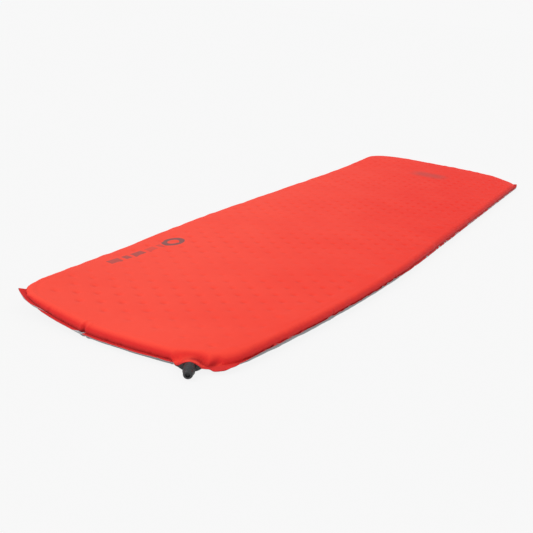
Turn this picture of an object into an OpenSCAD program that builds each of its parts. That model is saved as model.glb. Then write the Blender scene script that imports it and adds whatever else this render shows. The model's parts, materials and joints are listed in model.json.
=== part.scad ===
// Self-inflating sleeping pad: two coated fabric shells, welded together round their
// edge over a cored foam slab, with a twist valve welded into the foot-end seam.
// The origin is on the ground under the middle of the pad. +X points to the head end,
// +Z is up, and the valve is at the corner towards -X and -Y. Sizes are millimetres.

/* [Pad] */
// Length from the foot edge to the head edge
pad_l = 1830; // [1600:10:2000]
// Width of the head end and of the straight part of the sides
pad_w = 510; // [480:5:600]
// Width at the foot corners
foot_w = 384; // [340:2:460]
// Thickness when inflated
pad_t = 25.5; // [22:0.5:38]
// Height of the welded seam over the ground
seam_h = 9.5; // [9.5:0.5:12.5]
// Where the sides reach the full width, as a part of the length
widest_at = 0.41; // [0.3:0.01:0.6]
// How far the middle of the foot edge stands out past its corners
foot_bulge = 18; // [5:1:30]
// How far the middle of the head edge stands out past its corners
head_bulge = 60; // [5:1:80]

/* [Edge] */
// Width of the welded flange round the pad
flange_w = 4; // [3:0.5:6]
// Width of the rounded edge, from the flange to the flat top
edge_run = 16; // [12:1:24]
// Corner radius of the inflated part, away from the valve
corner_r = 34; // [20:1:50]
// Part of its height that the pad loses at a free corner
corner_thin = 0.7; // [0:0.05:0.8]
// Distance from a free corner at which the pad has its full height again
thin_reach = 120; // [60:10:200]
// Corner radius at the valve, where the pad is cut back
valve_corner_r = 45; // [38:1:60]
// Corner radius of the flange, where it runs out in a point
ear_r = 5; // [4:1:16]
// Thickness of the coated fabric
fabric_t = 0.6; // [0.4:0.1:0.8]

/* [Curl] */
// How far the foot corner at +Y curls up from the ground
curl_foot = 26; // [0:1:40]
// How far the head corner at +Y curls up from the ground
curl_head = 13; // [0:1:40]
// Length over which a curl runs out
curl_reach = 450; // [250:10:600]

/* [Foam] */
// Gap between the foam and the fabric, taken up by the bond
bond_gap = 0.2; // [0.1:0.1:0.5]
// Radius of each hole that is punched through the foam
core_r = 8; // [6:1:10]
// Distance from one row of holes to the next, along the pad
core_pitch_x = 22.5; // [22:0.5:40]
// Distance between the holes of a row, across the pad
core_pitch_y = 50; // [48:1:80]

/* [Valve] */
// Where the valve meets the foot edge: distance from the centre line
valve_y = 146; // [120:1:152]
// How far the valve turns outwards from the pad's length
valve_turn = 28; // [10:1:45]
// Width of the welded valve foot
boat_w = 34; // [30:1:40]
// Thickness of the welded valve foot
boat_t = 14; // [12.5:0.5:15]
// Outer radius of the valve's neck
neck_r = 5.6; // [5.4:0.1:5.8]
// Radius of the air way
air_r = 4; // [3.8:0.1:4.2]

/* [Cap] */
// Outer radius of the twist cap
cap_r = 9; // [8.8:0.1:9.4]
// Number of grip grooves round the cap
grips = 8; // [6:1:12]
// Travel of the cap in its one turn from closed to open: the lead of the thread
cap_travel = 5; // [4.5:0.5:5]

/* [Hidden] */
$fn = 64;

x_foot = foot_bulge - pad_l / 2;
x_head = pad_l / 2 - head_bulge;
x_wide = x_foot + widest_at * (x_head - x_foot);

// Intervals of the outline: half of a corner, the rest of a long side, the rest of an end
half_corner_n = 3;
long_n = 14;
end_n = 8;
side_n = long_n + 2 * half_corner_n;
width_n = end_n + 2 * half_corner_n;
ring_n = 2 * side_n + 2 * width_n;

// Angles at which the rounded edge has a ring of points, from the flange to the flat
shell_steps = [0, 22.5, 45, 67.5, 90];
foam_steps = [22.5, 45, 67.5, 90];

// Ends of the pad, and its two sides
FOOT = -1;
HEAD = 1;
RIGHT = -1;
LEFT = 1;

// Corner radii of the flange and of the inflated part, by corner: the valve's corner,
// where a flap of welded fabric is left beside the valve, and then on round the pad
flap_room = 20;
flange_corners = [valve_corner_r, ear_r, ear_r, ear_r];
dome_corners = [valve_corner_r + flap_room, corner_r, corner_r, corner_r];

// Where the valve's axis meets the edge of the flange
valve_x = x_foot - foot_bulge * (1 - pow(valve_y / (foot_w / 2), 2));

// Stations along the valve's axis, measured outwards from the edge of the flange
boat_in = -24;
cut_at = boat_in - 2;
collar_out = 2;
ring_gap = 0.05;
groove_at = 5.2;
groove_w = 1.8;
neck_out = 15;
washer_t = 1.5;
washer_at = neck_out + 0.2;
cap_in = 2.6;
cap_ceiling = 17;
mouth_in = 20.6;
shoulder_at = 16.5;
cap_out = 28;
cap_cavity_r = 6.9;
mouth_r = 3.6;
nose_r = 7.2;
head_r = 3.3;
head_in = 20.4;
head_out = 25;
head_groove_at = 22.4;
head_groove_w = 1.3;
stem_r = 1.5;
spider_at = 9;
spider_t = 3;
spider_wall = 0.8;
spoke_w = 1.3;

// The two-start thread: how far its ridges stand out, their widths, and the stretches
// of the axis that they cover
thread_starts = 2;
thread_step = 15;
ridge_h = 0.8;
ridge_root = 0.5;
ridge_base_w = 1.3;
ridge_crest_w = 0.6;
neck_thread = [8.2, 14.2];
cap_thread = [7.9, 11];

pad_red = [0.93, 0.27, 0.22];
pad_grey = [0.55, 0.56, 0.57];
foam_cream = [0.93, 0.89, 0.72];
hard_black = [0.13, 0.13, 0.14];
soft_black = [0.2, 0.2, 0.21];
seal_grey = [0.45, 0.46, 0.48];

// ---- Outline ----

function limit01(a) = max(0, min(1, a));
function mix(a, b, t) = a + (b - a) * t;
function reversed(list) = [for (i = [len(list) - 1 : -1 : 0]) list[i]];
function without_last(list) = [for (i = [0 : len(list) - 2]) list[i]];

// Half of the pad's width at x: the sides draw in towards the foot on a parabola
function half_w(x) =
    pad_w / 2 - (pad_w - foot_w) / 2 * pow(max(0, x_wide - x) / (x_wide - x_foot), 2);

// How far the curled corners lift the point x, y
function run_out(d) = pow(limit01(1 - d / curl_reach), 2);
function curl(x, y) =
    pow(limit01(y / half_w(max(x, x_foot))), 2)
    * (curl_foot * run_out(x - x_foot) + curl_head * run_out(x_head - x));

// Points of the outline, drawn in by d: on a side at x, and on an end at y = v times
// the half width there
function end_x(end) = end == HEAD ? x_head : x_foot;
function bulge(end) = end == HEAD ? head_bulge : foot_bulge;
function side_point(side, d, x) = [x, side * (half_w(x) - d)];
function end_point(end, d, v) =
    [end_x(end) - end * d + end * bulge(end) * (1 - v * v), v * (half_w(end_x(end)) - d)];

// The part of its full height that the pad has at x, y: less towards the free corners
function from_corner(x, y, end, side) =
    norm([x - end_x(end), y - side * half_w(end_x(end))]);
function plump(x, y) =
    let (away = min(from_corner(x, y, FOOT, LEFT), from_corner(x, y, HEAD, LEFT),
        from_corner(x, y, HEAD, RIGHT)))
    1 - corner_thin * pow(limit01(1 - away / thin_reach), 2);

// Where a corner of radius r leaves its side and its end
function leaves_side(end, d, r) = end_x(end) - end * (d + r);
function leaves_end(end, d, r) = 1 - r / (half_w(end_x(end)) - d);

// A corner's curve, from t = 0 on the side to t = 1 on the end
function corner_point(end, side, d, r, t) =
    let (
        a = side_point(side, d, leaves_side(end, d, r)),
        b = end_point(end, d, side * leaves_end(end, d, r)),
        k = [end_x(end) - end * d, side * (half_w(end_x(end)) - d)]
    )
    (1 - t) * (1 - t) * a + 2 * t * (1 - t) * k + t * t * b;

// One long side, from the middle of its foot corner to the middle of its head corner
function long_side(side, d, r_foot, r_head) = concat(
    [for (i = [0 : half_corner_n - 1])
        corner_point(FOOT, side, d, r_foot, (1 - i / half_corner_n) / 2)],
    [for (i = [0 : long_n])
        side_point(side, d,
            mix(leaves_side(FOOT, d, r_foot), leaves_side(HEAD, d, r_head), i / long_n))],
    [for (i = [1 : half_corner_n])
        corner_point(HEAD, side, d, r_head, i / half_corner_n / 2)]);

// One end, from the middle of its right corner to the middle of its left corner
function short_end(end, d, r_right, r_left) = concat(
    [for (i = [0 : half_corner_n - 1])
        corner_point(end, RIGHT, d, r_right, (1 + i / half_corner_n) / 2)],
    [for (i = [0 : end_n])
        end_point(end, d,
            mix(-leaves_end(end, d, r_right), leaves_end(end, d, r_left), i / end_n))],
    [for (i = [1 : half_corner_n])
        corner_point(end, LEFT, d, r_left, 1 - i / half_corner_n / 2)]);

// The four sides of a ring: right, head, left and foot, with r by corner in that order
function sides(d, r) = [
    long_side(RIGHT, d, r[0], r[1]),
    short_end(HEAD, d, r[1], r[2]),
    long_side(LEFT, d, r[3], r[2]),
    short_end(FOOT, d, r[0], r[3])];

// Room over the seam (side 1) or under it (side -1), out to the fabric's outer face
function room(side) = side > 0 ? pad_t - seam_h : seam_h;

// A point lifted by h = [side, base, depth, rise]: from base at rise 0 to the full height
// less depth at rise 1
function lifted(p, h) = [p[0], p[1], seam_h + curl(p[0], p[1])
    + h[0] * (h[1] + (room(h[0]) * plump(p[0], p[1]) - h[2] - h[1]) * h[3])];

// A closed ring of lifted points, counter-clockwise from above
function ring(d, r, h) =
    let (s = sides(d, r))
    [for (p = concat(without_last(s[0]), without_last(s[1]),
        without_last(reversed(s[2])), without_last(reversed(s[3])))) lifted(p, h)];

// Points inside a ring, spread evenly between its four sides
function fill(d, r, h) =
    let (s = sides(d, r), right = s[0], head = s[1], left = s[2], foot = s[3])
    [for (j = [1 : width_n - 1]) for (i = [1 : side_n - 1])
        let (u = i / side_n, v = j / width_n,
            across = mix(right[i], left[i], v),
            along = mix(foot[j], head[j], u),
            flat = mix(mix(right[0], right[side_n], u), mix(left[0], left[side_n], u), v))
        lifted(across + along - flat, h)];

// ---- Surfaces ----

// The triangle pair of a square, facing up or down
function square_up(a, b, c, d) = [[a, c, b], [a, d, c]];
function square_down(a, b, c, d) = [[a, b, c], [a, c, d]];
function square_facing(up, a, b, c, d) = up ? square_up(a, b, c, d) : square_down(a, b, c, d);

// The band between the rings that start at points a and b
function band(a, b, up) = [for (i = [0 : ring_n - 1]) let (k = (i + 1) % ring_n)
    each square_facing(up, a + i, a + k, b + k, b + i)];

// The point at column i and row j of a filled ring: its edge is the ring itself
function fill_point(i, j, ring_at, fill_at) =
    j == 0 ? ring_at + i
    : i == side_n ? ring_at + side_n + j
    : j == width_n ? ring_at + 2 * side_n + width_n - i
    : i == 0 ? ring_at + (ring_n - j) % ring_n
    : fill_at + (j - 1) * (side_n - 1) + i - 1;
function filled(ring_at, fill_at, up) =
    [for (j = [0 : width_n - 1]) for (i = [0 : side_n - 1])
        each square_facing(up,
            fill_point(i, j, ring_at, fill_at), fill_point(i + 1, j, ring_at, fill_at),
            fill_point(i + 1, j + 1, ring_at, fill_at), fill_point(i, j + 1, ring_at, fill_at))];

// A skin: its rings [inset, corner radii, lift], and the points that fill the last one
function skin_points(rings) =
    let (last = rings[len(rings) - 1])
    concat([for (r = rings) each ring(r[0], r[1], r[2])], fill(last[0], last[1], last[2]));
function skin_faces(count, start, up) = concat(
    [for (k = [0 : count - 2]) each band(start + k * ring_n, start + (k + 1) * ring_n, up)],
    filled(start + (count - 1) * ring_n, start + count * ring_n, up));

// A solid between two skins that meet face to face round their first rings
module between_skins(high, low) {
    high_n = len(skin_points(high));
    polyhedron(
        points = concat(skin_points(high), skin_points(low)),
        faces = concat(
            skin_faces(len(high), 0, true),
            skin_faces(len(low), high_n, false),
            band(0, high_n, false)));
}

// The rounded edge at depth e inside the fabric's outer face
function edge_rings(steps, e, base, side) = [for (a = steps)
    [flange_w + e + (edge_run - e) * (1 - cos(a)), dome_corners, [side, base, e, sin(a)]]];
function outer_rings(side) = concat(
    [[0, flange_corners, [side, fabric_t, 0, 0]]], edge_rings(shell_steps, 0, fabric_t, side));
function inner_rings(side) = concat(
    [[0, flange_corners, [side, 0, 0, 0]]], edge_rings(shell_steps, fabric_t, 0, side));

// ---- Pad pieces ----

// The valve's foot leaves its own shape free in everything that it is welded into
module valve_room(grow) {
    at_valve() translate([0, 0, boat_in - grow])
        linear_extrude(collar_out - boat_in + 2 * grow + flange_w) boat_outline(grow);
}

// The part of a shell that lies on the valve's foot, above the seam or below it
module wrap(side) {
    grow = ring_gap + fabric_t;
    at_valve() translate([0, 0, boat_in]) linear_extrude(-boat_in) intersection() {
        boat_outline(grow);
        translate([side > 0 ? -boat_t : 0, -boat_w]) square([boat_t, 2 * boat_w]);
    }
}

module top_shell() {
    color(pad_red) difference() {
        union() {
            between_skins(outer_rings(1), inner_rings(1));
            wrap(1);
        }
        valve_room(ring_gap);
    }
}

module bottom_shell() {
    color(pad_grey) difference() {
        union() {
            between_skins(inner_rings(-1), outer_rings(-1));
            wrap(-1);
        }
        valve_room(ring_gap);
    }
}

// Hole centres of the foam, in staggered rows, clear of its edge and of its cut corner
core_margin = flange_w + edge_run + core_r;
cut_margin = core_r + 4;
core_rows = floor((x_head - x_foot) / 2 / core_pitch_x);
core_columns = ceil(pad_w / 2 / core_pitch_y);
function staggered(i) = core_pitch_y / 2 * (abs(i) % 2);
function core_centres() = [
    for (i = [-core_rows : core_rows]) for (j = [-core_columns : core_columns])
        let (x = i * core_pitch_x, y = j * core_pitch_y + staggered(i))
        if (x > x_foot + core_margin && x < x_head - core_margin
            && abs(y) < half_w(x) - core_margin
            && along_valve(x, y) < cut_at - cut_margin) [x, y]];

// The foam's corner is cut off square to the valve, to make room for the valve's foot
module corner_cut() {
    at_valve() translate([-pad_t, -foot_w / 4, cut_at])
        cube([2 * pad_t, foot_w / 2, foot_w / 2]);
}

module foam_core() {
    e = fabric_t + bond_gap;
    color(foam_cream) difference() {
        between_skins(edge_rings(foam_steps, e, 0, 1), edge_rings(foam_steps, e, 0, -1));
        for (p = core_centres()) translate([p[0], p[1], -1])
            cylinder(r = core_r, h = pad_t + curl_foot + curl_head + 2);
        corner_cut();
    }
}

// ---- Valve ----

// Moves the valve's own axis, local +Z, to its place in the foot seam
module at_valve() {
    translate([valve_x, -valve_y, seam_h])
        rotate([0, 0, 180 + valve_turn]) rotate([0, 90, 0]) children();
}

// How far the point x, y is along the valve's axis
function along_valve(x, y) = (valve_x - x) * cos(valve_turn) - (valve_y + y) * sin(valve_turn);

// The lens shape of the welded foot, made by two arcs
module boat_outline(grow) {
    half_t = boat_t / 2 + grow;
    half_w = boat_w / 2 + grow;
    arc_r = (half_w * half_w + half_t * half_t) / (2 * half_t);
    intersection() {
        translate([arc_r - half_t, 0]) circle(r = arc_r, $fn = 160);
        translate([half_t - arc_r, 0]) circle(r = arc_r, $fn = 160);
    }
}

// A torus round the valve's axis, from its outer radius and its wire radius
module seal_ring(outer_r, wire_r, at) {
    translate([0, 0, at]) rotate_extrude() translate([outer_r - wire_r, 0]) circle(r = wire_r);
}

// Right-hand ridges on radius r over the stretch [z0, z1], rooted inside the wall. They
// stand outwards where side is 1 and inwards where it is -1, and pass through the height
// phase at angle 0.
module thread(r, stretch, side, phase) {
    n = ceil((stretch[1] - stretch[0]) / cap_travel * 360 / thread_step);
    profile = [[-ridge_root, -ridge_base_w / 2], [ridge_h, -ridge_crest_w / 2],
               [ridge_h, ridge_crest_w / 2], [-ridge_root, ridge_base_w / 2]];
    for (k = [0 : thread_starts - 1]) rotate([0, 0, k * 360 / thread_starts])
        polyhedron(
            points = [for (i = [0 : n]) for (p = profile)
                let (z = mix(stretch[0], stretch[1], i / n), a = (z - phase) / cap_travel * 360)
                [(r + side * p[0]) * cos(a), (r + side * p[0]) * sin(a), z + p[1]]],
            faces = concat(
                square_facing(side > 0, 0, 1, 2, 3),
                square_facing(side < 0, 4 * n, 4 * n + 1, 4 * n + 2, 4 * n + 3),
                [for (i = [0 : n - 1]) for (j = [0 : 3]) let (a = 4 * i + j, b = 4 * i + (j + 1) % 4)
                    each square_facing(side > 0, b, a, a + 4, b + 4)]));
}

module valve_body() {
    color(hard_black) at_valve() difference() {
        union() {
            translate([0, 0, boat_in]) linear_extrude(collar_out - boat_in) boat_outline(0);
            cylinder(r = neck_r, h = neck_out);
            thread(neck_r, neck_thread, 1, 0);
        }
        translate([0, 0, boat_in - 1]) cylinder(r = air_r, h = neck_out - boat_in + 2);
        translate([0, 0, groove_at]) difference() {
            cylinder(r = neck_r + 1, h = groove_w);
            translate([0, 0, -1]) cylinder(r = neck_r - 0.7, h = groove_w + 2);
        }
    }
}

module valve_plug() {
    color(hard_black) at_valve() difference() {
        union() {
            translate([0, 0, spider_at]) difference() {
                cylinder(r = air_r - 0.02, h = spider_t);
                translate([0, 0, -1]) cylinder(r = air_r - spider_wall, h = spider_t + 2);
            }
            for (a = [0 : 120 : 240]) rotate([0, 0, a])
                translate([0, -spoke_w / 2, spider_at])
                    cube([air_r - spider_wall / 2, spoke_w, spider_t]);
            translate([0, 0, spider_at]) cylinder(r = stem_r, h = head_in - spider_at + 1);
            translate([0, 0, head_in]) cylinder(r = head_r, h = head_out - head_in);
        }
        translate([0, 0, head_groove_at]) difference() {
            cylinder(r = head_r + 1, h = head_groove_w);
            translate([0, 0, -1]) cylinder(r = head_r - 0.9, h = head_groove_w + 2);
        }
    }
}

module plug_o_ring() {
    color(seal_grey) at_valve()
        seal_ring(mouth_r - ring_gap, 0.55, head_groove_at + head_groove_w / 2);
}

module neck_o_ring() {
    color(seal_grey) at_valve()
        seal_ring(cap_cavity_r - ring_gap, 0.85, groove_at + groove_w / 2);
}

module cap_washer() {
    color(seal_grey) at_valve() translate([0, 0, washer_at]) difference() {
        cylinder(r = cap_cavity_r - ring_gap, h = washer_t);
        translate([0, 0, -1]) cylinder(r = air_r, h = washer_t + 2);
    }
}

module valve_cap() {
    color(soft_black) at_valve() {
        cap_shape();
        thread(cap_cavity_r, cap_thread, -1, cap_travel / thread_starts / 2);
    }
}

module cap_shape() {
    difference() {
        rotate_extrude() polygon([
            [0, cap_in], [cap_r - 0.8, cap_in], [cap_r, cap_in + 0.8],
            [cap_r, shoulder_at - 1.5], [cap_r - 0.6, shoulder_at - 0.4],
            [nose_r + 0.6, shoulder_at + 1.6], [nose_r, shoulder_at + 2.6],
            [nose_r, cap_out - 3], [nose_r - 0.5, cap_out - 1.5],
            [nose_r - 1.4, cap_out - 0.5], [nose_r - 2.8, cap_out], [0, cap_out]]);
        translate([0, 0, cap_in - 1]) cylinder(r = cap_cavity_r, h = cap_ceiling - cap_in + 1);
        translate([0, 0, cap_ceiling - 0.01])
            cylinder(r1 = cap_cavity_r - 1.9, r2 = mouth_r, h = mouth_in - cap_ceiling + 0.01);
        translate([0, 0, mouth_in - 1]) cylinder(r = mouth_r, h = cap_out - mouth_in + 2);
        for (i = [0 : grips - 1]) rotate([0, 0, (i + 0.5) * 360 / grips])
            translate([cap_r + 1, 0, cap_in - 1]) cylinder(r = 1.7, h = shoulder_at - cap_in - 1);
    }
}

top_shell();
bottom_shell();
foam_core();
valve_body();
valve_plug();
plug_o_ring();
neck_o_ring();
cap_washer();
valve_cap();
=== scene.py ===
"""Looks of the self-inflating sleeping pad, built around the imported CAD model.

Lengths are metres, in the CAD model's frame: the origin is on the ground under the middle
of the pad, +X points to the head end, +Z is up, and the valve is at the -X -Y corner.
"""
import json
import math

import bpy
import numpy as np
from mathutils import Matrix, Vector, geometry


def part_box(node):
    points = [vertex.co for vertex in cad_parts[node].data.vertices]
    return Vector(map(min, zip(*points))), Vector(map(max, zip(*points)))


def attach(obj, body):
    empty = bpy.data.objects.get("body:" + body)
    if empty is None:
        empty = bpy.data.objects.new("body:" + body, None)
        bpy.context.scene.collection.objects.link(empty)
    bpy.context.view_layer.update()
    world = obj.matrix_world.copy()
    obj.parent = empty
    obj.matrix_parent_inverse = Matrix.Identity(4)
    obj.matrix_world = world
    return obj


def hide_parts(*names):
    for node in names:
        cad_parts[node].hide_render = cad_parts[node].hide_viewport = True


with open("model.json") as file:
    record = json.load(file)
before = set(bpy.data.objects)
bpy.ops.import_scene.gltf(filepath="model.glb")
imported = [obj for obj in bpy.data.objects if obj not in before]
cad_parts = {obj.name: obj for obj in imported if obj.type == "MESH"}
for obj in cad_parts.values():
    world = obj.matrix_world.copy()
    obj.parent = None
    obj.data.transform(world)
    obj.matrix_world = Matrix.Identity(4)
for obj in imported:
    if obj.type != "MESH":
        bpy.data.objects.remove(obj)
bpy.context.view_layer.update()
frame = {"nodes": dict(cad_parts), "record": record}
MM = 0.001

# ---- Driving dimensions: the CAD model's own, measured where the frame gives them ----

PAD_LOW, PAD_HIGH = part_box("bottom_shell")
PAD_LENGTH = PAD_HIGH[0] - PAD_LOW[0]
PAD_WIDTH = PAD_HIGH[1] - PAD_LOW[1]
SEAM_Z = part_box("top_shell")[0][2]
PAD_THICK = 25.5 * MM
FOOT_WIDTH = 384 * MM
WIDEST_AT = 0.41
FOOT_BULGE = 18 * MM
HEAD_BULGE = 60 * MM
FLANGE = 4 * MM
EDGE_RUN = 16 * MM
CORNER_R = 34 * MM
CORNER_THIN = 0.7
THIN_REACH = 120 * MM
VALVE_CORNER_R = 45 * MM
FLAP_ROOM = 20 * MM
EAR_R = 5 * MM
CURL_FOOT = 26 * MM
CURL_HEAD = 13 * MM
CURL_REACH = 450 * MM
HOLE_R = 8 * MM
HOLE_PITCH_X = 22.5 * MM
HOLE_PITCH_Y = 50 * MM

X_FOOT = FOOT_BULGE - PAD_LENGTH / 2
X_HEAD = PAD_LENGTH / 2 - HEAD_BULGE
X_WIDE = X_FOOT + WIDEST_AT * (X_HEAD - X_FOOT)
FOOT, HEAD, RIGHT, LEFT = -1, 1, -1, 1

# How far the fabric's flat lies from the seam, above it and below it
ROOM = {1: PAD_THICK - SEAM_Z, -1: SEAM_Z}

FOOT_LEFT = np.array([X_FOOT, FOOT_WIDTH / 2])
FOOT_RIGHT = np.array([X_FOOT, -FOOT_WIDTH / 2])
HEAD_LEFT = np.array([X_HEAD, PAD_WIDTH / 2])
HEAD_RIGHT = np.array([X_HEAD, -PAD_WIDTH / 2])

# The valve's axis, from the record, and where it crosses the flange's edge
TURN = next(j for j in frame["record"]["behaviour"]["joints"] if j["name"] == "cap_turn")
VALVE_OUT = np.array(TURN["axis"][:2])
VALVE_ACROSS = np.array([-VALVE_OUT[1], VALVE_OUT[0]])
CAP_SEAT = 15.2 * MM
VALVE_EDGE = np.array(TURN["pos_m"][:2]) - CAP_SEAT * VALVE_OUT
BOAT_HALF_W = 17 * MM
BOAT_HALF_T = 7 * MM
BOAT_DEPTH = 24 * MM
FOAM_CUT = -26 * MM


# ---- Outline and height of the pad ----

def limit01(a):
    return np.clip(a, 0.0, 1.0)


def smooth(a):
    a = limit01(a)
    return a * a * (3 - 2 * a)


def half_width(x):
    """Half of the pad's width at x: the sides draw in towards the foot on a parabola."""
    toward_foot = np.maximum(0, X_WIDE - x) / (X_WIDE - X_FOOT)
    return PAD_WIDTH / 2 - (PAD_WIDTH - FOOT_WIDTH) / 2 * toward_foot ** 2


def curl(x, y):
    """How far the two curled corners lift a point."""
    def run_out(d):
        return limit01(1 - d / CURL_REACH) ** 2
    side = limit01(y / half_width(np.maximum(x, X_FOOT))) ** 2
    return side * (CURL_FOOT * run_out(x - X_FOOT) + CURL_HEAD * run_out(X_HEAD - x))


def full_height(x, y, side):
    """How far the fabric's flat lies from the seam at x, y: less towards the free corners."""
    away = np.min([np.hypot(x - c[0], y - c[1]) for c in (FOOT_LEFT, HEAD_LEFT, HEAD_RIGHT)], 0)
    return ROOM[side] * (1 - CORNER_THIN * limit01(1 - away / THIN_REACH) ** 2)


def end_x(end):
    return X_HEAD if end == HEAD else X_FOOT


def side_point(side, d, x):
    x = np.asarray(x, float)
    return np.stack([x, side * (half_width(x) - d)], -1)


def end_point(end, d, v):
    v = np.asarray(v, float)
    bulge = HEAD_BULGE if end == HEAD else FOOT_BULGE
    x = end_x(end) - end * d + end * bulge * (1 - v * v)
    return np.stack([x, v * (half_width(end_x(end)) - d)], -1)


def corner_points(end, side, d, r, t):
    """A corner's curve, from t = 0 on the side to t = 1 on the end."""
    t = np.asarray(t, float)[:, None]
    half = half_width(end_x(end)) - d
    a = side_point(side, d, end_x(end) - end * (d + r))
    b = end_point(end, d, side * (1 - r / half))
    k = np.array([end_x(end) - end * d, side * half])
    return (1 - t) ** 2 * a + 2 * t * (1 - t) * k + t * t * b


# Intervals of the outline: half of a corner, the rest of a long side, the rest of an end
HALF_CORNER_N, LONG_N, END_N = 18, 740, 160
SIDE_N = LONG_N + 2 * HALF_CORNER_N
WIDTH_N = END_N + 2 * HALF_CORNER_N
RING_N = 2 * (SIDE_N + WIDTH_N)


def long_side(side, d, r_foot, r_head):
    half = np.arange(HALF_CORNER_N) / HALF_CORNER_N / 2
    x0 = X_FOOT + d + r_foot
    x1 = X_HEAD - d - r_head
    return np.concatenate([
        corner_points(FOOT, side, d, r_foot, 0.5 - half),
        side_point(side, d, np.linspace(x0, x1, LONG_N + 1)),
        corner_points(HEAD, side, d, r_head, half + 0.5 / HALF_CORNER_N)])


def short_end(end, d, r_right, r_left):
    half = np.arange(HALF_CORNER_N) / HALF_CORNER_N / 2
    width = half_width(end_x(end)) - d
    return np.concatenate([
        corner_points(end, RIGHT, d, r_right, 0.5 + half),
        end_point(end, d, np.linspace(r_right / width - 1, 1 - r_left / width, END_N + 1)),
        corner_points(end, LEFT, d, r_left, 1 - half - 0.5 / HALF_CORNER_N)])


def ring(d, r):
    """A closed ring, drawn in by d. r: radii at the valve, right head, left head, left foot."""
    return np.concatenate([
        long_side(RIGHT, d, r[0], r[1])[:-1],
        short_end(HEAD, d, r[1], r[2])[:-1],
        long_side(LEFT, d, r[3], r[2])[::-1][:-1],
        short_end(FOOT, d, r[0], r[3])[::-1][:-1]])


FLANGE_CORNERS = np.array([VALVE_CORNER_R, EAR_R, EAR_R, EAR_R])
DOME_CORNERS = np.array([VALVE_CORNER_R + FLAP_ROOM, CORNER_R, CORNER_R, CORNER_R])


# ---- Noise ----

def wander(s, length, wave, seed):
    """Smooth noise between -1 and 1 along the closed edge, with about one swell per wave."""
    knots = max(8, int(round(length / wave)))
    values = np.random.default_rng(seed).uniform(-1, 1, knots)
    t = s / length * knots
    i = np.floor(t).astype(int)
    f = smooth(t - i)
    return values[i % knots] * (1 - f) + values[(i + 1) % knots] * f


def noise2(x, y, wave, seed):
    """Smooth noise, mostly between -1 and 1, over the plane."""
    rng = np.random.default_rng(seed)
    total = np.zeros_like(x)
    for _ in range(10):
        angle, phase = rng.uniform(0, 2 * math.pi, 2)
        k = 2 * math.pi / (wave * rng.uniform(0.7, 1.5))
        total += np.sin(k * (x * math.cos(angle) + y * math.sin(angle)) + phase)
    return total / 4


# ---- Places on the pad where the fabric does something of its own ----

# an ear at a free corner: how far its tip is drawn out, how much it is pinched across, how far
# it is lifted, how far its two sheets are puffed apart, and how far it lifts the fabric beside it
EARS = (
    (FOOT_LEFT, 0.0 * MM, 0.3, 8.0 * MM, 0.8 * MM, 6 * MM),
    (HEAD_RIGHT, -3.0 * MM, 0.1, 7.5 * MM, 3.2 * MM, 7 * MM),
    (HEAD_LEFT, 0.0 * MM, 0.4, 1.0 * MM, 0.8 * MM, 2 * MM))
EAR_REACH = 20 * MM
TAUT_REACH = 34 * MM
TAUT_SLOPE = {1: 0.30, -1: 0.18}
# a pinch: its place, how far it draws the weld in, its half width, how far up it runs,
# and how much of the draw the grey underside follows
PINCHES = (
    (-0.900, 0.041, 6.0 * MM, 4.0 * MM, 1.5, 0.1),
    (-0.594, -0.227, 2.2 * MM, 4.0 * MM, 1.0, 0.5),
    (-0.902, 0.118, 1.6 * MM, 3.0 * MM, 0.9, 1.0),
    (-0.330, -0.246, 1.6 * MM, 4.0 * MM, 0.9, 0.4))


def near(p, place, reach):
    return np.exp(-((p[:, 0] - place[0]) ** 2 + (p[:, 1] - place[1]) ** 2) / reach ** 2)


def near_valve(p):
    """How far a point is along the valve's axis, outwards, and across it."""
    v = p[:, :2] - VALVE_EDGE
    return v @ VALVE_OUT, v @ VALVE_ACROSS


BOAT_COVER = 0.45 * MM
BOAT_TENT = 1.4 * MM
BOAT_RAMP = 34 * MM


def over_boat(p):
    """How far the fabric has to stand off the seam to lie on the valve's welded foot."""
    out, across = near_valve(p)
    arc = (BOAT_HALF_W ** 2 + BOAT_HALF_T ** 2) / (2 * BOAT_HALF_T)
    lens = np.sqrt(np.maximum(arc ** 2 - across ** 2, 0)) - (arc - BOAT_HALF_T)
    lens = np.maximum(lens + BOAT_COVER, 0)
    spread = BOAT_TENT * np.exp(-(across / (20 * MM)) ** 2) * smooth((10 * MM - out) / (20 * MM))
    along = smooth((out + BOAT_DEPTH + BOAT_RAMP) / BOAT_RAMP)
    return np.maximum(lens, spread) * along


# where the pad's slope ends in a valley beside the valve's foot: mm across the valve's axis,
# mm out along it, and how much painted shade the valley gets
VALLEY_ACROSS = (-34, -24, -18, -3, 3, 11, 20, 27, 33, 40, 52)
VALLEY_OUT = (-12, -11.5, -12, -14, -13, -13, -10, -4.5, -8, -12, -12)
VALLEY_SHADE = (0, 0.8, 0.4, 0.4, 0.9, 1, 1, 1, 1, 0.3, 0)
VALLEY_HALF_W = 3.2 * MM
VALLEY_FLOOR = 1 * MM


def valley_out(across):
    return np.interp(across / MM, VALLEY_ACROSS, VALLEY_OUT) * MM


def valley_painted_shade(p):
    """Painted shade: how deep in the valley beside the valve's foot a point is."""
    out, across = near_valve(p)
    shade_share = np.interp(across / MM, VALLEY_ACROSS, VALLEY_SHADE)
    return shade_share * np.exp(-((out - valley_out(across)) / VALLEY_HALF_W) ** 2)


def beside_boat(p, height, side):
    """Lets the fabric fall beside the valve's foot, where the foam's corner is cut off."""
    out, across = near_valve(p)
    start = FOAM_CUT + 1 * MM
    t = limit01((out - start) / (valley_out(across) - start))
    slope = VALLEY_FLOOR + (ROOM[side] - VALLEY_FLOOR) * (1 - t * t) ** 0.75
    return np.where(out > start, np.minimum(height, slope), height)


# ---- Puckers that the weld gathers into the rounded edge ----

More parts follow.
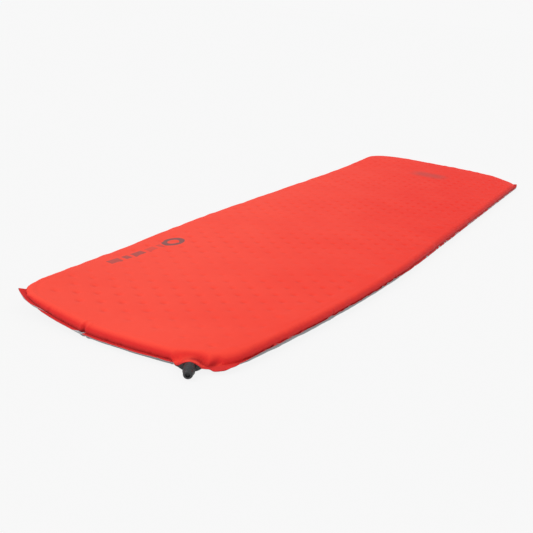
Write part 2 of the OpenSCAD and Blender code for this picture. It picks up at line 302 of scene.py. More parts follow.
# from one pucker to the next, and half a pucker's width, both in mm; how far up the rounded edge
# it runs, in radians; how far it slants, in mm; its depth; and how far it lifts the weld
PUCKER_GAP = (8, 18)
PUCKER_HALF_W = (1.9, 3.6)
PUCKER_REACH = (0.5, 1.35)
PUCKER_SLANT = (-7, 7)
PUCKER_DEPTH = 1.1 * MM
PUCKER_LIFT = 1.0 * MM


class Puckers:
    """Short valleys that start at the weld, at uneven distances, and fade up the edge."""

    def __init__(self, s, length, base, seed, side):
        rng = np.random.default_rng(seed)
        at = np.cumsum(rng.uniform(*PUCKER_GAP, 900)) * MM
        at = at[at < length - 6 * MM]
        n = len(at)
        depth = rng.uniform(0.15, 1.0, n) ** 1.6 * PUCKER_DEPTH
        width = rng.uniform(*PUCKER_HALF_W, n) * MM
        reach = rng.uniform(*PUCKER_REACH, n)
        slant = rng.uniform(*PUCKER_SLANT, n) * MM
        lift = rng.uniform(-1, 1, n) * PUCKER_LIFT
        own = np.random.default_rng(seed + side + 5).uniform(0.4, 1.3, n)
        index = np.searchsorted(s, at).clip(0, len(s) - 1)
        here = base[index]
        depth *= 1 + 0.9 * near(here, FOOT_LEFT, 0.11) + 0.3 * near(here, FOOT_RIGHT, 0.12)
        self.s, self.length = s, length
        self.at, self.depth, self.width, self.reach = at, depth, width, reach
        self.slant, self.lift, self.own = slant, lift, own

    def gap(self, shift):
        d = self.s[:, None] - self.at - shift
        return (d + self.length / 2) % self.length - self.length / 2

    def weld(self):
        """How far the weld is drawn in, and how far it is lifted, at each ring point."""
        d = self.gap(0)
        return (np.exp(-(d / (1.3 * self.width)) ** 2) @ self.depth,
                np.exp(-(d / (1.9 * self.width)) ** 2) @ self.lift)

    def valley(self, angle):
        """Depth of the valleys in the ring at this angle of the rounded edge."""
        d = self.gap(self.slant * angle)
        fade = np.maximum(0, 1 - angle / self.reach) ** 1.2
        own = 1 + (self.own - 1) * min(1, 2 * angle)
        bell = np.exp(-(d / (self.width * (1 + 0.9 * angle))) ** 2)
        return bell @ (self.depth * fade * own)


# ---- Surface of one half of the pad ----

DOME_STEPS = np.radians(np.linspace(0, 90, 17))
FLANGE_STEPS = np.array([0, 0.25, 0.5, 0.75])
DIMPLE_R = 9.5 * MM
DIMPLE_DEPTH = {1: 2.2 * MM, -1: 0.5 * MM}
# how much painted shade the deepest dimples of the top get
DIMPLE_SHADE = 0.16
EDGE_BULGE = {1: 3.0 * MM, -1: 1.4 * MM}
SHEET = 0.25 * MM
HALF_SEAM = 0.27 * MM

# how finely the flat is divided: far from the valve, and within a circle round it
FLAT_STEP = 5.5 * MM
VALVE_STEP = 2.1 * MM
VALVE_CIRCLE = 70 * MM

# how far the weld leans out of its plane: up on the valve's side, where it turns over into a
# lean down beyond a certain x, and down at the curled foot corner, by the valve and all round
LEAN_RIGHT, LEAN_FOOT_LEFT, LEAN_FLAP, LEAN_ALL = 3.0 * MM, 3.2 * MM, 4.0 * MM, 0.4 * MM
LEAN_TURN_X, LEAN_TURN_RUN = -0.36, 0.25
LEAN_WANDER = 0.7 * MM
WELD_WANDER = 0.5 * MM

# the flat's unevenness: wave lengths of hills and folds, height of the folds and of the waves at
# the head end, and the share of it all that each side shows
HILL_WAVE, FOLD_WAVE = 130 * MM, 42 * MM
FOLD_HEIGHT, HEAD_WAVE_HEIGHT = 0.95 * MM, 1.9 * MM
SWELL_SHARE = {1: 1.0, -1: 0.3}

# how far the CAD model's foam lies inside the fabric's outer face
FOAM_INSIDE = 0.8 * MM


def holed(x, y):
    """Whether the foam has a hole at this place: not by its edge or its cut corner."""
    margin = FLANGE + EDGE_RUN + HOLE_R
    out, _ = near_valve(np.stack([x, y], -1))
    return ((x > X_FOOT + margin) & (x < X_HEAD - margin)
            & (np.abs(y) < half_width(x) - margin) & (out < FOAM_CUT - HOLE_R - 4 * MM))


def hole_centres():
    """Centres of the foam's holes, in staggered rows."""
    rows = int((X_HEAD - X_FOOT) / 2 / HOLE_PITCH_X)
    columns = math.ceil(PAD_WIDTH / 2 / HOLE_PITCH_Y)
    grid = np.array([(i * HOLE_PITCH_X, j * HOLE_PITCH_Y + HOLE_PITCH_Y / 2 * (abs(i) % 2))
                     for i in range(-rows, rows + 1) for j in range(-columns, columns + 1)])
    return grid[holed(*grid.T)]


def dimples(x, y):
    """1 over the middle of a hole in the foam, falling to 0 at the dimple's rim."""
    row = np.round(x / HOLE_PITCH_X)
    depth = np.zeros_like(x)
    for di in (-1, 0, 1):
        i = row + di
        shift = HOLE_PITCH_Y / 2 * (np.abs(i) % 2)
        j = np.round((y - shift) / HOLE_PITCH_Y)
        cx, cy = i * HOLE_PITCH_X, j * HOLE_PITCH_Y + shift
        r = np.hypot(x - cx, y - cy)
        uneven = (0.75 + 0.25 * np.sin(12.9 * i + 7.1 * j)) * holed(cx, cy)
        depth = np.maximum(depth, uneven * np.cos(limit01(r / DIMPLE_R) * math.pi / 2) ** 2)
    return depth


def inside_ring(points, loop, clear):
    """Which points are inside the loop by more than clear."""
    keep = np.zeros(len(points), bool)
    a, b = loop, np.roll(loop, -1, 0)
    for k in range(0, len(points), 2000):
        p = points[k:k + 2000]
        py = p[:, 1][:, None]
        crosses = (a[:, 1] > py) != (b[:, 1] > py)
        slope = (b[:, 0] - a[:, 0]) / np.where(b[:, 1] == a[:, 1], 1e-12, b[:, 1] - a[:, 1])
        left = p[:, 0][:, None] < a[:, 0] + (py - a[:, 1]) * slope
        odd = (crosses & left).sum(1) % 2 == 1
        gap = np.min(np.hypot(p[:, 0][:, None] - a[:, 0], py - a[:, 1]), 1)
        keep[k:k + 2000] = odd & (gap > clear)
    return keep


def flat_points(loop):
    """Points for the flat inside the loop: rings round each dimple, and a fill elsewhere."""
    centres = hole_centres()
    centres = centres[inside_ring(centres, loop, 14 * MM)]
    centres = centres[np.hypot(*(centres - VALVE_EDGE).T) > VALVE_CIRCLE + 10 * MM]
    rosette = [(0.0, 0.0)]
    for radius, count, start in ((3.2 * MM, 6, 0), (6.4 * MM, 10, 0.2), (9.5 * MM, 12, 0)):
        turns = (np.arange(count) + start) / count * 2 * math.pi
        rosette += [(radius * math.cos(t), radius * math.sin(t)) for t in turns]
    points = (centres[:, None] + np.array(rosette)[None]).reshape(-1, 2)
    gx, gy = np.meshgrid(np.arange(loop[:, 0].min(), loop[:, 0].max(), FLAT_STEP),
                         np.arange(loop[:, 1].min(), loop[:, 1].max(), FLAT_STEP))
    grid = np.stack([gx.ravel() + 0.37 * MM, gy.ravel() + 0.23 * MM], -1)
    known = {(round(c[0] / MM), round(c[1] / MM)) for c in centres}
    i = np.round(grid[:, 0] / HOLE_PITCH_X)
    free = np.hypot(*(grid - VALVE_EDGE).T) > VALVE_CIRCLE
    for c in (-1, 0, 1):
        shift = HOLE_PITCH_Y / 2 * (np.abs(i + c) % 2)
        j = np.round((grid[:, 1] - shift) / HOLE_PITCH_Y)
        hole = np.stack([(i + c) * HOLE_PITCH_X, j * HOLE_PITCH_Y + shift], -1)
        has = np.array([(round(h[0] / MM), round(h[1] / MM)) in known for h in hole])
        free &= ~(has & (np.hypot(*(grid - hole).T) < 13 * MM))
    reach = np.arange(-VALVE_CIRCLE, VALVE_CIRCLE, VALVE_STEP)
    fine = np.stack(np.meshgrid(reach, reach), -1).reshape(-1, 2)
    fine = fine[np.hypot(*fine.T) < VALVE_CIRCLE] + VALVE_EDGE
    return np.concatenate([points, grid[free], fine])


def pad_mesh(name, side):
    """One fabric half of the pad: side 1 is the top, -1 the underside."""
    edge = np.concatenate([ring(FLANGE * t, FLANGE_CORNERS * (1 - t) + DOME_CORNERS * t)
                           for t in FLANGE_STEPS])
    dome = np.concatenate([ring(FLANGE + EDGE_RUN * (1 - math.cos(a)), DOME_CORNERS)
                           for a in DOME_STEPS])
    last = dome[-RING_N:]
    inner = flat_points(last)
    inner = inner[inside_ring(inner, last, 2.2 * MM)]
    flat = np.concatenate([edge, dome, inner])
    rings = len(FLANGE_STEPS) + len(DOME_STEPS)
    rim = np.concatenate([np.repeat(1 - FLANGE_STEPS, RING_N), np.zeros(len(dome) + len(inner))])
    verts = np.concatenate([edge_surface(edge, dome, side), flat_surface(inner, side)])
    faces = band_faces(rings, side) + flat_faces(flat, rings, side)
    mesh = bpy.data.meshes.new(name)
    mesh.from_pydata(verts.tolist(), [], faces)
    mesh.validate()
    mesh.shade_smooth()
    # painted shade: darker colour in the creases by the weld and at the pinches
    painted_crease_shade = np.concatenate([crease_shade_amount(edge, dome), np.zeros(len(inner))])
    # painted shade in the valley beside the valve's foot
    painted_crease_shade = np.maximum(painted_crease_shade, valley_painted_shade(flat))
    # painted shade in the dimples, on the top only
    if side > 0:
        dips = dimples(flat[:, 0], flat[:, 1]) * (rim == 0)
        painted_crease_shade = np.maximum(painted_crease_shade, DIMPLE_SHADE * dips ** 2)
    for kind, values in (("weld", (rim > 0).astype(float)), ("painted_crease_shade", painted_crease_shade)):
        mesh.attributes.new(kind, "FLOAT", "POINT").data.foreach_set("value", values)
    obj = bpy.data.objects.new(name, mesh)
    bpy.context.collection.objects.link(obj)
    return obj


def band_faces(rings, side):
    faces = []
    for k in range(rings - 1):
        a, b = k * RING_N, (k + 1) * RING_N
        for i in range(RING_N):
            j = (i + 1) % RING_N
            quad = (a + i, a + j, b + j, b + i)
            faces.append(quad if side > 0 else quad[::-1])
    return faces


def flat_faces(flat, rings, side):
    """Triangles of the flat: the last ring and the points inside it, joined by Delaunay."""
    start = (rings - 1) * RING_N
    points = [Vector(p) for p in flat[start:]]
    found = geometry.delaunay_2d_cdt(points, [], [list(range(RING_N))], 1, 1e-7)
    index = [origin[0] for origin in found[3]]
    faces = []
    for face in found[2]:
        tri = tuple(start + index[v] for v in face)
        faces.append(tri if side > 0 else tri[::-1])
    return faces


def edge_distance(x, y):
    """How far inside the pad's outline a point is, roughly."""
    toward_end = np.minimum(x - X_FOOT, X_HEAD - x) + 15 * MM
    return np.minimum(half_width(x) - np.abs(y), toward_end)


def swells(x, y, side):
    """Slow unevenness of the flat: soft hills, and shallow slanting folds near the edge."""
    hills = np.clip(0.3 * noise2(x, y, HILL_WAVE, 21 + side) + 0.1, -0.15, 0.7) * MM
    strip = np.exp(-((edge_distance(x, y) - 34 * MM) / (24 * MM)) ** 2)
    folds = np.clip(noise2(0.75 * x + 0.5 * y, 1.7 * y - 0.4 * x, FOLD_WAVE, 31 + side), 0, 1.6)
    right = 0.45 + 0.55 * smooth(-y / (120 * MM))
    from_head = end_point(HEAD, 0, y / half_width(X_HEAD))[..., 0] - x
    waves = 0.5 + 0.5 * np.sin(y / (6.8 * MM) + 1.4 * np.sin(y / (15 * MM)))
    waves = HEAD_WAVE_HEIGHT * waves * np.exp(-((from_head - 16 * MM) / (13 * MM)) ** 2)
    return (hills + FOLD_HEIGHT * strip * folds * right + waves) * SWELL_SHARE[side]


def fit_valve(points, height, side):
    """Sinks the fabric round the valve's foot and lays it over the foot itself."""
    close = np.hypot(*(points - VALVE_EDGE).T) < 95 * MM
    fitted = np.maximum(beside_boat(points, height, side), over_boat(points))
    return np.where(close, fitted, height)


def clear_of_foam(inset, height, full):
    """The furthest in that the fabric may be at this height without meeting the foam."""
    reach = np.abs(height) / (full - FOAM_INSIDE)
    rounding = 1 - np.sqrt(1 - np.minimum(reach, 1) ** 2)
    slope = FLANGE + 0.5 * MM + (EDGE_RUN - FOAM_INSIDE) * rounding
    limit = np.where(reach < 0.36, FLANGE + 1.5 * MM, slope)
    return np.where(reach < 1, limit, 1.0) - inset


def flat_surface(points, side):
    """The flat part: it dips over the holes in the foam."""
    x, y = points[:, 0], points[:, 1]
    height = full_height(x, y, side) - DIMPLE_DEPTH[side] * dimples(x, y) + swells(x, y, side)
    height = fit_valve(points, height, side)
    z = np.maximum(SEAM_Z + side * height + curl(x, y), 0)
    return np.stack([x, y, z], -1)


def edge_lengths(base):
    """How far along the edge each ring point is, and the edge's whole length."""
    step = np.hypot(*(np.roll(base, -1, 0) - base).T)
    return np.concatenate([[0], np.cumsum(step)[:-1]]), step.sum()


def pinch_gaps(base):
    """For each pinch, how far along the edge each ring point is from it."""
    s, length = edge_lengths(base)
    for place in PINCHES:
        where = s[np.argmin(np.hypot(*(base - place[:2]).T))]
        yield (s - where + length / 2) % length - length / 2


def crease_shade_amount(edge, dome):
    """Painted shade: how deep in a crease each point of the weld and of the rounded edge is."""
    base = dome[:RING_N]
    open_flap = 1 - 0.95 * near(base, FOOT_RIGHT + (12 * MM, 6 * MM), 0.042)
    pinch = np.zeros(RING_N)
    for gap, (_, _, depth, half, _, _) in zip(pinch_gaps(base), PINCHES):
        pinch += depth / (5 * MM) * np.exp(-(gap / (0.8 * half)) ** 2)
    rows = [0.9 * t * t * open_flap for t in FLANGE_STEPS]
    rows += [limit01(math.exp(-(a / 0.24) ** 2) * open_flap + pinch * max(0, 1 - a / 0.8))
             for a in DOME_STEPS]
    return np.concatenate(rows)


class Edge:
    """What bends the weld and the rounded edge of one half of the pad, ring point by ring point."""

    def __init__(self, base, side):
        s, length = edge_lengths(base)
        along = np.roll(base, 1, 0) - np.roll(base, -1, 0)
        outward = np.stack([-along[:, 1], along[:, 0]], -1)
        self.outward = outward / np.linalg.norm(outward, axis=1)[:, None]
        self.side = side
        self.flap = near(base, FOOT_RIGHT, 0.055)
        out, across = near_valve(base)
        self.at_boat = smooth((30 * MM - np.abs(across)) / (12 * MM)) * (np.abs(out) < 60 * MM)
        free = 1 - self.at_boat
        self.puckers = Puckers(s, length, base, 40, side)
        drawn_in, lifted = self.puckers.weld()
        self.drawn_in = (drawn_in + WELD_WANDER * wander(s, length, 40 * MM, 12)) * free
        swell = 1 + 0.28 * wander(s, length, 26 * MM, 14 + side)
        self.bulge = EDGE_BULGE[side] * swell * (1 - self.flap)
        self.lifted = (lifted + self.lean(base, s, length)) * free
        self.pinches = list(zip(pinch_gaps(base), PINCHES))
        pinch_in = np.zeros(RING_N)
        for gap, (_, _, depth, half, _, follow) in self.pinches:
            pinch_in += np.exp(-(gap / half) ** 2) * depth * (1 if side > 0 else follow)
        self.pinch_in = pinch_in * free

    def lean(self, base, s, length):
        """How far the weld leans up out of its plane."""
        turned = 1.9 * smooth((base[:, 0] - LEAN_TURN_X) / LEAN_TURN_RUN)
        right = smooth((-self.outward[:, 1] - 0.4) / 0.4) * (1 - turned)
        foot_left = near(base, FOOT_LEFT, 0.13)
        lean = (LEAN_RIGHT * right * (1 - self.flap) - LEAN_FOOT_LEFT * foot_left
                - LEAN_FLAP * self.flap)
        return lean + LEAN_WANDER * wander(s, length, 70 * MM, 3) - LEAN_ALL

    def weld_ring(self, flat, t):
        """A ring of the weld, from t = 0 at its rim to t = 1 at the rounded edge."""
        inward = self.drawn_in * (0.55 + 0.45 * t) + self.pinch_in * (1 - 0.2 * t)
        tilt = np.sqrt(np.maximum(FLANGE ** 2 - self.lifted ** 2, (0.3 * FLANGE) ** 2))
        inward = inward + (FLANGE - tilt) * (1 - t) * (1 - self.flap)
        inward = np.minimum(inward, FLANGE * (1 - t) + 1.5 * MM)
        xy = flat - self.outward * inward[:, None]
        xy = draw_to_boat(xy, self.at_boat)
        height = fit_valve(xy, np.full(RING_N, HALF_SEAM), self.side)
        z = SEAM_Z + self.side * height + curl(*xy.T) + self.lifted * (1 - t) ** 1.3
        return ears(np.stack([xy[:, 0], xy[:, 1], z], -1), 1 - t, self.side)

    def valley(self, a):
        """How deep the rounded edge is pressed in at the angle a, by puckers and pinches."""
        valley = self.puckers.valley(a) - self.bulge * math.sin(min(math.pi, 2.4 * a)) ** 0.8
        for gap, (_, _, depth, half, reach, _) in self.pinches:
            fade = max(0, 1 - a / reach)
            bell = np.exp(-(gap / half) ** 2)
            lips = (gap / half) ** 2 * np.exp(1 - (gap / half) ** 2 / 1.6)
            valley = valley + depth * fade * (0.35 * bell - 0.3 * lips)
        return valley

    def dome_ring(self, flat, a):
        """A ring of the rounded edge, from a = 0 at the weld to a right angle at the flat."""
        valley = self.valley(a)
        near_weld = math.exp(-(a / 0.12) ** 2) * 0.9
        inward = valley * math.cos(a) + (self.drawn_in + self.pinch_in) * near_weld
        full = full_height(*flat.T, self.side)
        height = (full - HALF_SEAM) * math.sin(a) + HALF_SEAM
        height = height - np.minimum(valley, 0.25 * MM) * math.sin(a)
        inset = FLANGE + EDGE_RUN * (1 - math.cos(a))
        inward = np.minimum(inward, clear_of_foam(inset, height, full))
        xy = flat - self.outward * inward[:, None]
        xy = draw_to_boat(xy, self.at_boat * max(0, 1 - a / 0.9))
        if a > 1.1:
            height = height + swells(*xy.T, self.side) * smooth((a - 1.1) / 0.45)
            dips = DIMPLE_DEPTH[self.side] * dimples(*xy.T)
            height = height - dips * smooth((a - 1.3) / 0.27)
        height = fit_valve(xy, height, self.side)
        z = SEAM_Z + self.side * height + curl(*xy.T)
        return np.stack([xy[:, 0], xy[:, 1], z], -1)


def edge_surface(edge, dome, side):
    """The weld and the rounded edge, ring by ring."""
    form = Edge(dome[:RING_N], side)
    rows = [form.weld_ring(flat, t)
            for flat, t in zip(edge.reshape(-1, RING_N, 2), FLANGE_STEPS)]
    rows += [form.dome_ring(flat, a)
             for flat, a in zip(dome.reshape(-1, RING_N, 2), DOME_STEPS)]
    verts = taut_corners(np.concatenate(rows), side)
    verts[:, 2] = np.maximum(verts[:, 2], 0)
    return verts


def draw_to_boat(xy, weight):
    """Pulls the weld out to the end of the valve's foot, so that the foot is covered."""
    out, across = near_valve(xy)
    reach = 0.4 * MM + 1.5 * MM * smooth(-across / (12 * MM))
    return xy + VALVE_OUT * (np.maximum(reach - out, 0) * weight)[:, None]


def ears(points, rim, side):
    """The free corners of the weld: pinched into narrow, slightly puffed ears."""
    for corner, stretch, pinch, lift, puff, _ in EARS:
        diagonal = np.sign(corner) / math.sqrt(2)
        sideways = np.array([-diagonal[1], diagonal[0]])
        rel = points[:, :2] - corner
        weight = smooth(1 - np.hypot(*rel.T) / EAR_REACH) * smooth(rim * 1.6)
        across = rel @ sideways
        move = -across[:, None] * sideways * (pinch * weight)[:, None]
        points[:, :2] += move + diagonal * (stretch * weight ** 2)[:, None]
        puffed = weight * (1 - smooth((rim - 0.75) * 4))
        points[:, 2] += lift * weight + side * puff * puffed
    return points


def taut_corners(points, side):
    """Stretches the fabric between the tip of an ear and the foam's rounded corner."""
    for corner, _, _, _, _, lift in EARS:
        diagonal = np.sign(corner) / math.sqrt(2)
        rel = points[:, :2] - corner
        inward = np.maximum(-(rel @ diagonal) - 3 * MM, 0)
        across = np.abs(rel @ np.array([-diagonal[1], diagonal[0]]))
        fan = 1 - limit01(across / (inward + 2 * MM)) ** 1.4
        rise = TAUT_SLOPE[side] * inward * fan * (inward < TAUT_REACH)
        base = SEAM_Z + curl(*points[:, :2].T)
        taut = base + side * rise + lift * smooth(1 - inward / (26 * MM)) * fan
        raised = side * np.maximum(side * points[:, 2], side * taut)
        points[:, 2] = np.where(fan * rise > 0, raised, points[:, 2])
    return points


# ---- Materials ----

def new_material(name):
    mat = bpy.data.materials.new(name)
    mat.use_nodes = True
    nodes = mat.node_tree.nodes
    shader = nodes["Principled BSDF"]
    return mat, nodes, mat.node_tree.links, shader


def add(nodes, kind, **values):
    node = nodes.new(kind)
    for key, value in values.items():
        if key in node.inputs.keys():
            node.inputs[key].default_value = value
        else:
            setattr(node, key, value)
    return node


def math_node(nodes, links, operation, a, b=None, clamp=False):
    node = nodes.new("ShaderNodeMath")
    node.operation = operation
    node.use_clamp = clamp
    for socket, value in zip(node.inputs, (a, b)):
        if value is None:
            continue
        if isinstance(value, (int, float)):
            socket.default_value = value
        else:
            links.new(value, socket)
    return node.outputs[0]


def mix_colour(nodes, links, factor, a, b):
    """The colour a where the factor is 0 and b where it is 1; a may be another node's colour."""
    mix = nodes.new("ShaderNodeMix")
    mix.data_type = "RGBA"
    links.new(factor, mix.inputs["Factor"])
    if isinstance(a, tuple):
        mix.inputs["A"].default_value = (*a, 1)
    else:
        links.new(a, mix.inputs["A"])
    mix.inputs["B"].default_value = (*b, 1)
    return mix.outputs["Result"]


def map_range(nodes, links, value, **limits):
    node = nodes.new("ShaderNodeMapRange")
    for key, limit in limits.items():
        node.inputs[key.replace("_", " ").title()].default_value = limit
    links.new(value, node.inputs["Value"])
    return node.outputs["Result"]


def add_bump(nodes, links, height, strength, distance):
    node = add(nodes, "ShaderNodeBump", Strength=strength, Distance=distance)
    links.new(height, node.inputs["Height"])
    return node


def weave(nodes, links, place, thread):
    """Height of a plain weave: warp and weft threads that take turns on top."""
    sep = nodes.new("ShaderNodeSeparateXYZ")
    links.new(place, sep.inputs[0])
    k = math.pi / thread
    sx = math_node(nodes, links, "SINE", math_node(nodes, links, "MULTIPLY", sep.outputs[0], k))
    sy = math_node(nodes, links, "SINE", math_node(nodes, links, "MULTIPLY", sep.outputs[1], k))
    return math_node(nodes, links, "MULTIPLY", sx, sy)


def box_mask(nodes, links, place, middle, half, soft):
    """1 inside a rectangle on the pad, 0 outside it, with a soft border."""
    sep = nodes.new("ShaderNodeSeparateXYZ")
    links.new(place, sep.inputs[0])
    parts = []
    for socket, centre, extent in zip(sep.outputs, middle, half):
        off = math_node(nodes, links, "SUBTRACT", socket, centre)
        off = math_node(nodes, links, "ABSOLUTE", off)
        off = math_node(nodes, links, "SUBTRACT", extent, off)
        parts.append(math_node(nodes, links, "DIVIDE", off, soft, clamp=True))
    return math_node(nodes, links, "MULTIPLY", *parts)


def ring_mask(nodes, links, place, middle, half, thick, soft=1.2 * MM):
    """1 on a flat ring, 0 elsewhere."""
    sep = nodes.new("ShaderNodeSeparateXYZ")
    links.new(place, sep.inputs[0])
    squares = []
    for socket, centre, extent in zip(sep.outputs, middle, half):
        off = math_node(nodes, links, "SUBTRACT", socket, centre)
        off = math_node(nodes, links, "DIVIDE", off, extent)
        squares.append(math_node(nodes, links, "MULTIPLY", off, off))
    r = math_node(nodes, links, "SQRT", math_node(nodes, links, "ADD", *squares))
    r = math_node(nodes, links, "ABSOLUTE", math_node(nodes, links, "SUBTRACT", r, 1.0))
    r = math_node(nodes, links, "MULTIPLY", r, half[1])
    r = math_node(nodes, links, "SUBTRACT", thick / 2, r)
    return math_node(nodes, links, "DIVIDE", r, soft, clamp=True)


# Plain printed marks: a row of bars and a ring beside the foot end, a faint bar at the head
MARK_BARS = (((-0.664, 0.183), (17 * MM, 8 * MM), 1.2 * MM, 0.65),
             ((-0.629, 0.183), (9 * MM, 8 * MM), 1.2 * MM, 0.75),
             ((-0.594, 0.183), (17 * MM, 8 * MM), 1.2 * MM, 0.75),
             ((-0.553, 0.183), (14 * MM, 8 * MM), 1.2 * MM, 0.35),
             ((-0.523, 0.183), (7 * MM, 8 * MM), 1.2 * MM, 0.4),
             ((0.688, 0.0), (50 * MM, 66 * MM), 36 * MM, 0.40))
MARK_RING = ((-0.481, 0.181), (24 * MM, 14 * MM), 10 * MM)


def printed_marks(nodes, links, place):
    total = ring_mask(nodes, links, place, *MARK_RING)
    for middle, half, soft, strength in MARK_BARS:
        bar = box_mask(nodes, links, place, middle, half, soft)
        bar = math_node(nodes, links, "MULTIPLY", bar, strength)
        total = math_node(nodes, links, "MAXIMUM", total, bar)
    return total


THREAD = 0.7 * MM
INK = (0.15, 0.10, 0.10)
INK_COVER = 0.85


def fabric(name, foot_colour_and_light, head_colour_and_light, painted_flank_shade, weld, painted_crease_shade, marked=False):
    """Coated polyester: plain weave, soft crumple, a deeper colour on the weld, painted shade
    on steep places and in creases, and painted light brighter at the foot end than the head.
    """
    mat, nodes, links, shader = new_material(name)
    place = nodes.new("ShaderNodeTexCoord").outputs["Object"]
    cloudy = add(nodes, "ShaderNodeTexNoise", Scale=9.0, Detail=4.0)
    fine = add(nodes, "ShaderNodeTexNoise", Scale=140.0, Detail=3.0)
    links.new(place, cloudy.inputs["Vector"])
    links.new(place, fine.inputs["Vector"])
    sep = nodes.new("ShaderNodeSeparateXYZ")
    links.new(place, sep.inputs[0])
    # painted light: the colour runs from the foot colour to the head colour along a slant, brighter
    # at the foot end and the left side, mixed with random blotches of tone
    across = math_node(nodes, links, "MULTIPLY", sep.outputs[1], 3.0)
    slanting = math_node(nodes, links, "SUBTRACT", sep.outputs[0], across)
    light_falloff = map_range(nodes, links, slanting, from_min=X_FOOT, from_max=X_HEAD)
    blotch_and_light = math_node(nodes, links, "SUBTRACT", cloudy.outputs["Fac"], 0.5)
    blotch_and_light = math_node(nodes, links, "MULTIPLY", blotch_and_light, 0.7)
    blotch_and_light = math_node(nodes, links, "ADD", blotch_and_light, light_falloff, clamp=True)
    coloured = mix_colour(nodes, links, blotch_and_light, foot_colour_and_light, head_colour_and_light)
    # painted shade: steep places, facing sideways or down, take the darker flank colour
    facing = nodes.new("ShaderNodeSeparateXYZ")
    links.new(nodes.new("ShaderNodeNewGeometry").outputs["Normal"], facing.inputs[0])
    steep_shade = map_range(nodes, links, facing.outputs[2], from_min=0.97, from_max=0.45)
    coloured = mix_colour(nodes, links, steep_shade, coloured, painted_flank_shade)
    # the weld's own deeper colour, then painted shade in the creases
    for kind, tone in (("weld", weld), ("painted_crease_shade", painted_crease_shade)):
        cover = add(nodes, "ShaderNodeAttribute", attribute_name=kind).outputs["Fac"]
        coloured = mix_colour(nodes, links, cover, coloured, tone)
    if marked:
        marks = printed_marks(nodes, links, place)
        cover = math_node(nodes, links, "MULTIPLY", marks, INK_COVER)
        coloured = mix_colour(nodes, links, cover, coloured, INK)
    links.new(coloured, shader.inputs["Base Color"])
    cloth = add_bump(nodes, links, weave(nodes, links, place, THREAD), 0.25, 0.1 * MM)
    soft = add_bump(nodes, links, fine.outputs["Fac"], 0.3, 0.5 * MM)
    links.new(cloth.outputs["Normal"], soft.inputs["Normal"])
    links.new(soft.outputs["Normal"], shader.inputs["Normal"])
    rough = map_range(nodes, links, fine.outputs["Fac"], to_min=0.74, to_max=0.88)
    links.new(rough, shader.inputs["Roughness"])
    shader.inputs["Sheen Weight"].default_value = 0.04
    shader.inputs["Sheen Roughness"].default_value = 0.5
    shader.inputs["Specular IOR Level"].default_value = 0.15
    return mat


def plastic(name, colour, roughness, grain):
    """Moulded plastic: a fine spark-eroded grain, with paler rubbed places."""
    mat, nodes, links, shader = new_material(name)
    place = nodes.new("ShaderNodeTexCoord").outputs["Object"]
    patches = add(nodes, "ShaderNodeTexNoise", Scale=160.0, Detail=5.0)
    speck = add(nodes, "ShaderNodeTexNoise", Scale=grain, Detail=2.0)
    links.new(place, patches.inputs["Vector"])
    links.new(place, speck.inputs["Vector"])
    rubbed = tuple(c * 1.9 + 0.004 for c in colour)
    tint = mix_colour(nodes, links, patches.outputs["Fac"], colour, rubbed)
    links.new(tint, shader.inputs["Base Color"])
    rough = map_range(nodes, links, speck.outputs["Fac"],
                      to_min=roughness - 0.1, to_max=roughness + 0.12)
    links.new(rough, shader.inputs["Roughness"])
    bump = add_bump(nodes, links, speck.outputs["Fac"], 0.3, 0.1 * MM)
    links.new(bump.outputs["Normal"], shader.inputs["Normal"])
    return mat


def foam(name, colour):
    """Open-cell foam: small round pores, with painted shade in them."""
    mat, nodes, links, shader = new_material(name)
    place = nodes.new("ShaderNodeTexCoord").outputs["Object"]
    cells = add(nodes, "ShaderNodeTexVoronoi", Scale=900.0)
    links.new(place, cells.inputs["Vector"])
    # painted shade: darker in the pores
    pore_shade = tuple(c * 0.6 for c in colour)
    links.new(mix_colour(nodes, links, cells.outputs["Distance"], pore_shade, colour),
              shader.inputs["Base Color"])
    bump = add_bump(nodes, links, cells.outputs["Distance"], 0.6, 0.5 * MM)
    links.new(bump.outputs["Normal"], shader.inputs["Normal"])
    shader.inputs["Roughness"].default_value = 0.95
    return mat


def paint(obj, mat):
    obj.data.materials.clear()
    obj.data.materials.append(mat)


# ---- Pieces ----

def thicken(obj, depth):
    modifier = obj.modifiers.new("thickness", "SOLIDIFY")
    modifier.thickness = depth
    modifier.offset = -1
    bpy.context.view_layer.objects.active = obj
    obj.select_set(True)
    bpy.ops.object.modifier_apply(modifier=modifier.name)
    obj.select_set(False)


def make_pad():
    top = pad_mesh("pad_top", 1)
    bottom = pad_mesh("pad_underside", -1)
    # the foot and head colours carry painted light; the flank and crease colours are painted shade
    coral = fabric("coral_fabric", marked=True,
                   foot_colour_and_light=(0.975, 0.076, 0.046), head_colour_and_light=(0.885, 0.034, 0.020),
                   painted_flank_shade=(0.82, 0.026, 0.023), weld=(0.70, 0.032, 0.030),
                   painted_crease_shade=(0.44, 0.010, 0.012))
    grey = fabric("grey_fabric",
                  foot_colour_and_light=(0.44, 0.445, 0.46), head_colour_and_light=(0.46, 0.465, 0.48),
                  painted_flank_shade=(0.44, 0.445, 0.46), weld=(0.47, 0.475, 0.49),
                  painted_crease_shade=(0.36, 0.365, 0.38))
    for obj, mat, node, slot in ((top, coral, "top_shell", "top_fabric"),
                                 (bottom, grey, "bottom_shell", "bottom_fabric")):
        paint(obj, mat)
        thicken(obj, SHEET)
        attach(obj, "pad")
        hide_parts(node)


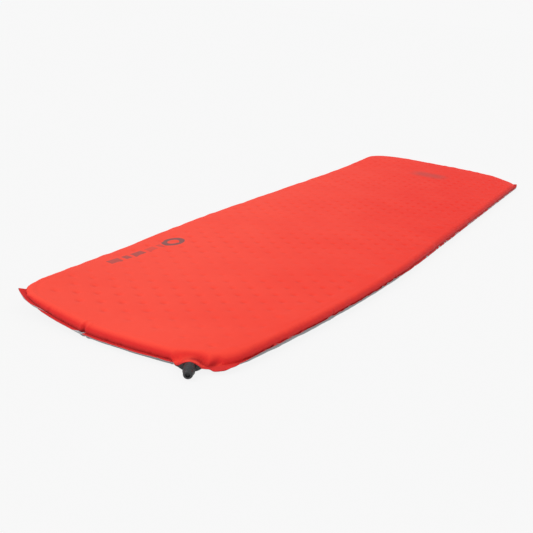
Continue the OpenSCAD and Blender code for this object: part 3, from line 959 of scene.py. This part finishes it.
def dress_cad_nodes():
    hard = plastic("hard_black_plastic", (0.012, 0.012, 0.013), 0.45, 2500.0)
    soft = plastic("cap_black_plastic", (0.016, 0.016, 0.018), 0.5, 1800.0)
    rubber = plastic("grey_silicone", (0.1, 0.105, 0.11), 0.6, 1200.0)
    cells = foam("cream_foam", (0.80, 0.74, 0.48))
    for node, mat in (("valve_body", hard), ("valve_plug", hard), ("valve_cap", soft),
                      ("plug_o_ring", rubber), ("neck_o_ring", rubber),
                      ("cap_washer", rubber), ("foam_core", cells)):
        paint(frame["nodes"][node], mat)


# ---- Floor, lights and camera ----

# how bright the floor looks, and the part of it that the lights give
FLOOR_TONE = 0.938
FLOOR_LIT = 0.072


def make_floor():
    """A pale floor that glows evenly and takes only a faint shadow."""
    size = 60.0
    mesh = bpy.data.meshes.new("floor")
    corners = [(-size, -size, 0), (size, -size, 0), (size, size, 0), (-size, size, 0)]
    mesh.from_pydata(corners, [], [(0, 1, 2, 3)])
    floor = bpy.data.objects.new("floor", mesh)
    floor.location.z = -0.4 * MM
    floor.visible_diffuse = False
    bpy.context.collection.objects.link(floor)
    mat, _, _, shader = new_material("pale_floor")
    shader.inputs["Base Color"].default_value = (0.07, 0.07, 0.07, 1)
    shader.inputs["Roughness"].default_value = 1.0
    shader.inputs["Specular IOR Level"].default_value = 0.0
    shader.inputs["Emission Color"].default_value = (1, 1, 1, 1)
    shader.inputs["Emission Strength"].default_value = FLOOR_TONE - FLOOR_LIT
    floor.data.materials.append(mat)


def make_lights():
    """A studio tent, brighter overhead, a key light from the left and a fill from the right."""
    world = bpy.data.worlds.new("studio")
    world.use_nodes = True
    nodes, links = world.node_tree.nodes, world.node_tree.links
    place = nodes.new("ShaderNodeTexCoord").outputs["Generated"]
    sep = nodes.new("ShaderNodeSeparateXYZ")
    links.new(place, sep.inputs[0])
    ramp = nodes.new("ShaderNodeValToRGB")
    links.new(map_range(nodes, links, sep.outputs[2], from_min=-1.0), ramp.inputs["Fac"])
    stops = ((0.0, 0.36), (0.465, 0.42), (0.48, FLOOR_TONE), (0.52, FLOOR_TONE),
             (0.55, 0.45), (1.0, 0.78))
    for at, tone in stops[1:-1]:
        ramp.color_ramp.elements.new(at)
    for element, (at, tone) in zip(ramp.color_ramp.elements, stops):
        element.position = at
        element.color = (tone, tone, tone, 1)
    links.new(ramp.outputs["Color"], nodes["Background"].inputs["Color"])
    bpy.context.scene.world = world
    for name, energy, width, way in (("key", 1.24, 50, (0.62, -0.45, -0.80)),
                                     ("fill", 0.36, 60, (0.20, 0.85, -0.45))):
        lamp = bpy.data.lights.new(name, "SUN")
        lamp.energy = energy
        lamp.angle = math.radians(width)
        obj = bpy.data.objects.new(name, lamp)
        obj.rotation_mode = "QUATERNION"
        obj.rotation_quaternion = Vector(way).to_track_quat("-Z", "Y")
        bpy.context.collection.objects.link(obj)
    view = bpy.context.scene.view_settings
    view.view_transform = "Standard"
    view.look = "None"


def make_camera():
    """A camera at knee height past the foot end, on the valve's side, looking along the pad."""
    place = Vector((-1.7650, -0.6916, 0.5152))
    heading, down, roll = 0.4320, 0.3198, 0.1041
    ahead = Vector((math.cos(down) * math.cos(heading), math.cos(down) * math.sin(heading),
                    -math.sin(down)))
    right = ahead.cross(Vector((0, 0, 1))).normalized()
    up = right.cross(ahead)
    turned_right = math.cos(roll) * right + math.sin(roll) * up
    turned_up = math.cos(roll) * up - math.sin(roll) * right
    data = bpy.data.cameras.new("camera")
    data.sensor_width = 36.0
    data.lens = 53.06
    data.shift_x = -0.0558
    data.shift_y = -0.0071
    data.clip_start = 0.01
    camera = bpy.data.objects.new("camera", data)
    turn = Matrix((turned_right, turned_up, -ahead)).transposed()
    camera.matrix_world = Matrix.Translation(place) @ turn.to_4x4()
    bpy.context.collection.objects.link(camera)
    bpy.context.scene.camera = camera


make_camera()
make_pad()
dress_cad_nodes()
make_floor()
make_lights()
